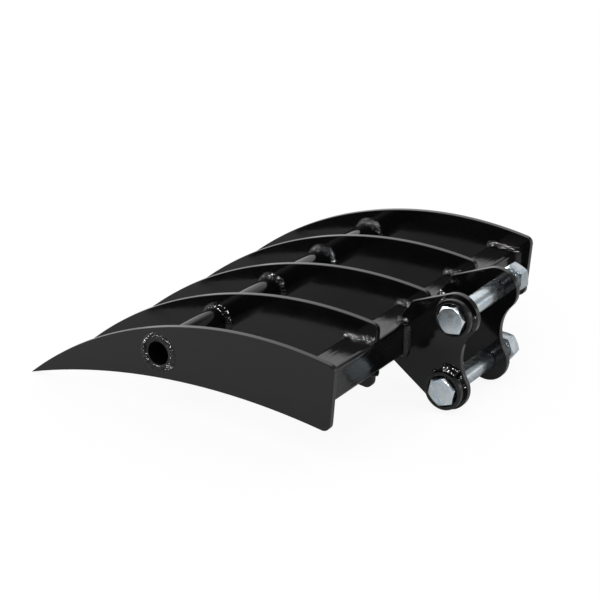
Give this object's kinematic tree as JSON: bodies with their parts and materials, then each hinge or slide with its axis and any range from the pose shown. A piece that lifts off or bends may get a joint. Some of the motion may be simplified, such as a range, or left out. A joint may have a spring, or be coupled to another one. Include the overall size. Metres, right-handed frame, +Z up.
{
  "type": "excavator rake",
  "caption": "Welded excavator rake: curved tines on a round and a square cross tube, with a pair of pinned ears for the arm and link of a small digger.",
  "frame": {"origin": "on the ground, at the middle of the rake's box in plan", "axes": "+Z up, -Y toward the tine tips, +Y toward the ears, +X toward the side of the pins' heads"},
  "size_m": [0.6156, 0.6463, 0.1863],
  "materials": {
    "black_paint": "gloss",
    "painted_weld": "gloss over rippled weld",
    "zinc": "bright zinc plate, lightly scratched"
  },
  "bodies": {
    "rake_frame": {"tine_1": "black_paint", "tine_2": "black_paint", "tine_3": "black_paint", "tine_4": "black_paint", "tine_5": "black_paint", "round_cross_tube": "black_paint", "square_cross_tube": "black_paint", "right_ear": "black_paint", "left_ear": "black_paint", "upper_head_guard_ring": "black_paint", "lower_head_guard_ring": "black_paint", "upper_nut_boss_ring": "black_paint", "lower_nut_boss_ring": "black_paint", "round_tube_weld_1": "painted_weld", "round_tube_weld_2": "painted_weld", "round_tube_weld_3": "painted_weld", "round_tube_weld_4": "painted_weld", "round_tube_weld_5": "painted_weld", "square_tube_weld_1": "painted_weld", "square_tube_weld_2": "painted_weld", "square_tube_weld_3": "painted_weld", "square_tube_weld_4": "painted_weld", "square_tube_weld_5": "painted_weld", "right_ear_weld": "painted_weld", "left_ear_weld": "painted_weld", "upper_guard_ring_weld": "painted_weld", "lower_guard_ring_weld": "painted_weld", "upper_boss_ring_weld": "painted_weld", "lower_boss_ring_weld": "painted_weld"},
    "upper_pin": {"upper_pin": "zinc"},
    "lower_pin": {"lower_pin": "zinc"},
    "upper_nut": {"upper_pin_nut": "zinc"},
    "lower_nut": {"lower_pin_nut": "zinc"}
  },
  "joints": [
    {"name": "upper_pin_slide", "type": "slide", "parent": "rake_frame", "child": "upper_pin", "axis": [1, 0, 0], "range_m": [0, 0.18]},
    {"name": "lower_pin_slide", "type": "slide", "parent": "rake_frame", "child": "lower_pin", "axis": [1, 0, 0], "range_m": [0, 0.18]},
    {"name": "upper_nut_run", "type": "slide", "parent": "rake_frame", "child": "upper_nut", "axis": [-1, 0, 0], "range_m": [0, 0.045]},
    {"name": "lower_nut_run", "type": "slide", "parent": "rake_frame", "child": "lower_nut", "axis": [-1, 0, 0], "range_m": [0, 0.045]}
  ],
  "couplings": [
    {"joint": "upper_nut_run", "follows": "upper_pin_slide", "ratio": 0.25},
    {"joint": "lower_nut_run", "follows": "lower_pin_slide", "ratio": 0.25}
  ]
}
